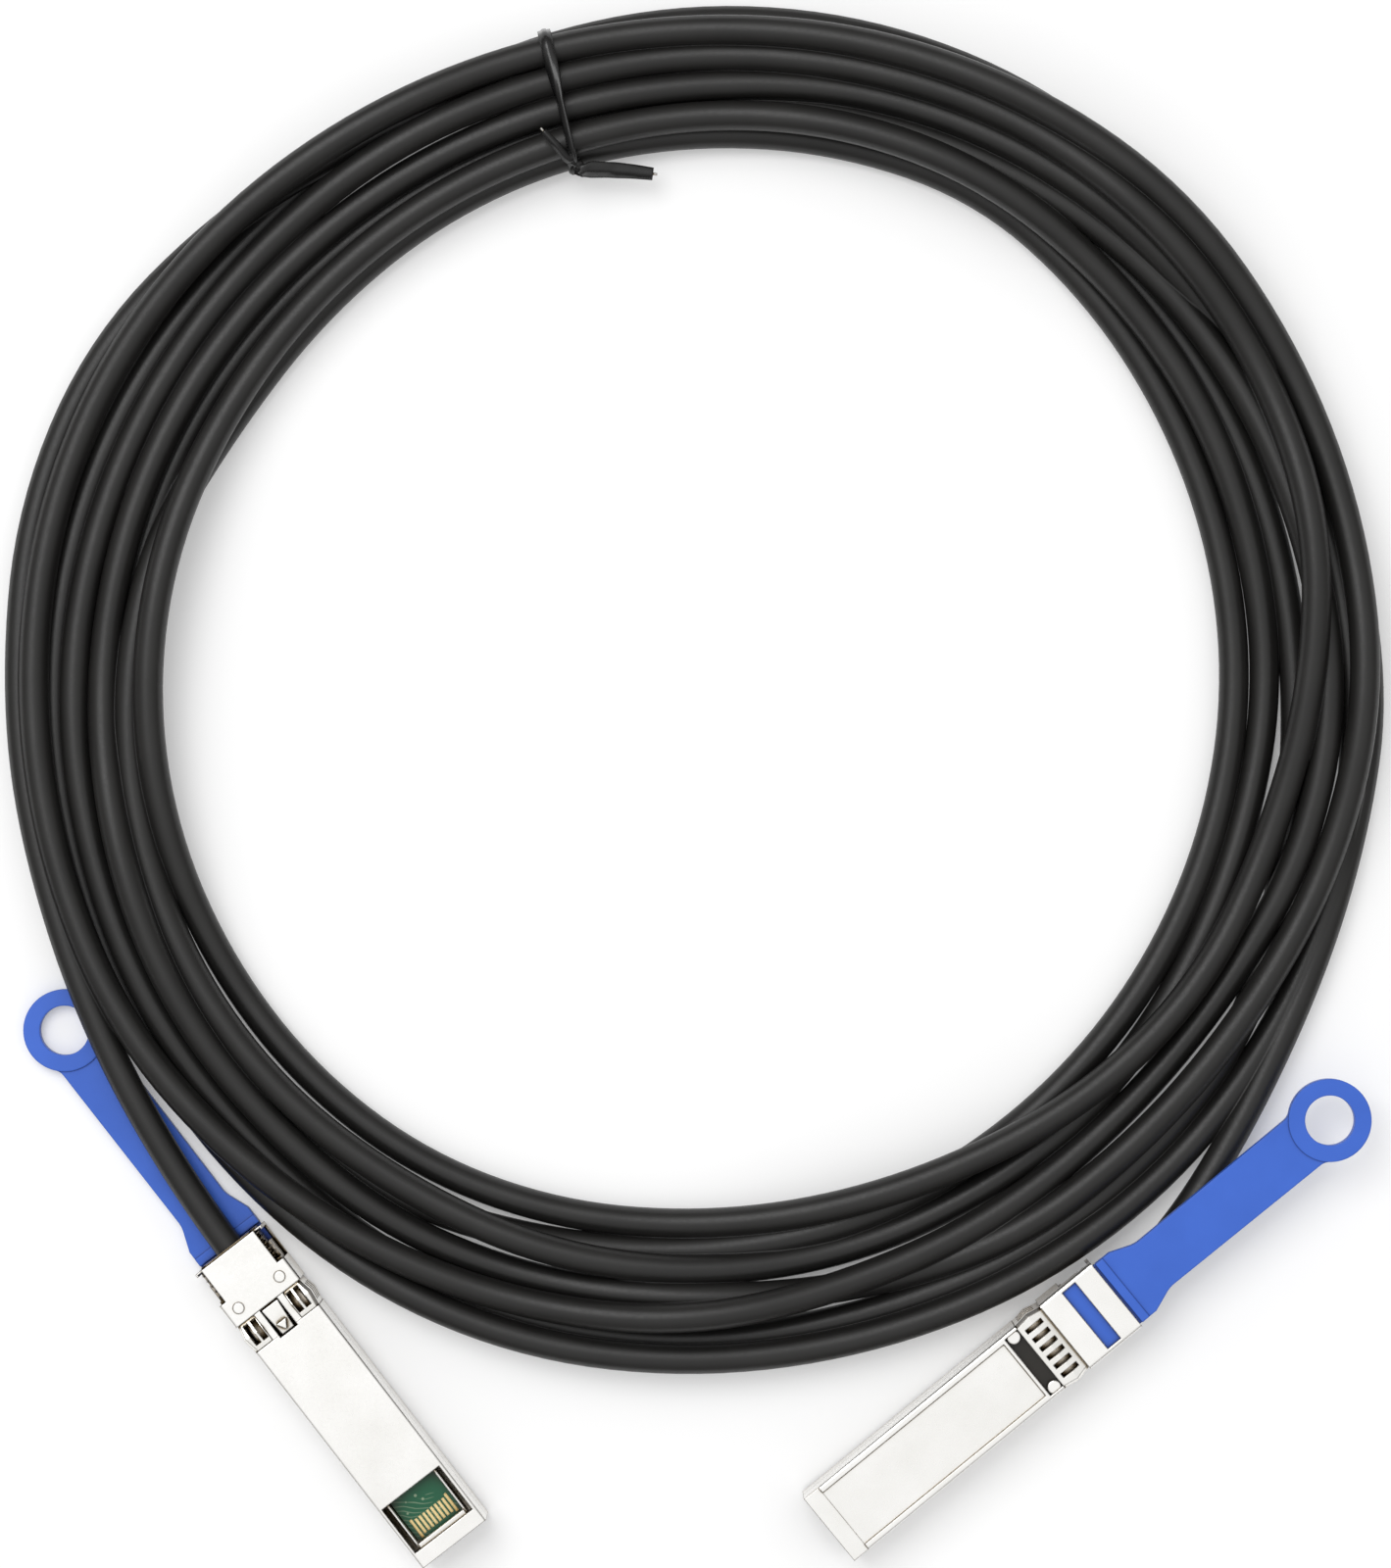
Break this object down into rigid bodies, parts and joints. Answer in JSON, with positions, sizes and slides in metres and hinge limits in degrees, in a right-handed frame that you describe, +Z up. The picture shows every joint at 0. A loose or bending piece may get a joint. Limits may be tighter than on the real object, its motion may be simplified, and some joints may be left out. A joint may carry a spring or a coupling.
{
  "type": "direct attach copper cable",
  "caption": "Coiled twinax copper cable with a latching plug and a blue pull tab at each end, held by a twist tie.",
  "frame": {"origin": "centre of the wound coil, on the surface it lies on", "axes": "+Z up out of the coil's eye; +X to the side of plug B, +Y away from the plugs"},
  "size_m": [0.2303, 0.2605, 0.0148],
  "materials": {
    "cast_zinc": "nickel-plated zinc casting, satin",
    "spring_sheet": "nickel-plated spring sheet, bright",
    "nickel_sheet": "nickel-plated sheet, polished",
    "steel_sheet": "rolled steel sheet",
    "steel_wire": "drawn spring steel",
    "blue_plastic": "moulded blue plastic, fine matt grain",
    "green_board": "green solder mask, glossy",
    "gold_plate": "hard gold plating",
    "chip_resin": "black moulding resin",
    "pair_foil": "wrapped aluminium foil",
    "black_mould": "black moulded resin",
    "cable_jacket": "black jacket, satin with a faint grain",
    "tie_plastic": "black plastic-coated wire"
  },
  "bodies": {
    "root": {"plug_a_shell_base": "cast_zinc", "plug_a_shell_cover": "cast_zinc", "plug_a_emi_collar": "spring_sheet", "plug_a_rear_sleeve": "nickel_sheet", "plug_a_sleeve_rivets": "nickel_sheet", "plug_a_latch_pin": "steel_wire", "plug_a_latch_spring": "steel_wire", "plug_a_return_springs": "steel_wire", "plug_a_paddle_card": "green_board", "plug_a_card_contacts": "gold_plate", "plug_a_card_chips": "chip_resin", "plug_a_twinax_pairs": "pair_foil", "plug_a_inner_mould": "black_mould", "plug_a_crimp_ferrule": "steel_sheet", "plug_b_shell_base": "cast_zinc", "plug_b_shell_cover": "cast_zinc", "plug_b_emi_collar": "spring_sheet", "plug_b_rear_sleeve": "nickel_sheet", "plug_b_sleeve_rivets": "nickel_sheet", "plug_b_latch_pin": "steel_wire", "plug_b_latch_spring": "steel_wire", "plug_b_return_springs": "steel_wire", "plug_b_paddle_card": "green_board", "plug_b_card_contacts": "gold_plate", "plug_b_card_chips": "chip_resin", "plug_b_twinax_pairs": "pair_foil", "plug_b_inner_mould": "black_mould", "plug_b_crimp_ferrule": "steel_sheet", "cable_coil": "cable_jacket", "cable_tail_a": "cable_jacket", "cable_tail_b": "cable_jacket", "twist_tie": "tie_plastic"},
    "release_a": {"plug_a_release_slider": "steel_sheet", "plug_a_pull_tab": "blue_plastic"},
    "latch_a": {"plug_a_latch_lever": "nickel_sheet"},
    "release_b": {"plug_b_release_slider": "steel_sheet", "plug_b_pull_tab": "blue_plastic"},
    "latch_b": {"plug_b_latch_lever": "nickel_sheet"}
  },
  "joints": [
    {"name": "release_a_slide", "type": "slide", "parent": "root", "child": "release_a", "axis": [-0.6115, 0.7912, 0], "range_m": [0, 0.0025], "stiffness_N_per_m": 1500, "springref_m": -0.0005, "deforming": ["plug_a_return_springs"]},
    {"name": "latch_a_hinge", "type": "hinge", "parent": "root", "child": "latch_a", "pos_m": [-0.07227, -0.10078, 0.00775], "axis": [0.7912, 0.6115, 0], "range_deg": [0, 4.4], "stiffness_Nm_per_rad": 0.05, "deforming": ["plug_a_latch_spring"]},
    {"name": "release_b_slide", "type": "slide", "parent": "root", "child": "release_b", "axis": [0.7738, 0.6334, 0], "range_m": [0, 0.0025], "stiffness_N_per_m": 1500, "springref_m": -0.0005, "deforming": ["plug_b_return_springs"]},
    {"name": "latch_b_hinge", "type": "hinge", "parent": "root", "child": "latch_b", "pos_m": [0.0629, -0.10668, 0.0016], "axis": [-0.6334, 0.7738, 0], "range_deg": [0, 4.4], "stiffness_Nm_per_rad": 0.05, "deforming": ["plug_b_latch_spring"]}
  ],
  "couplings": [
    {"joint": "latch_a_hinge", "follows": "release_a_slide", "rad_per_m": 30},
    {"joint": "latch_b_hinge", "follows": "release_b_slide", "rad_per_m": 30}
  ]
}
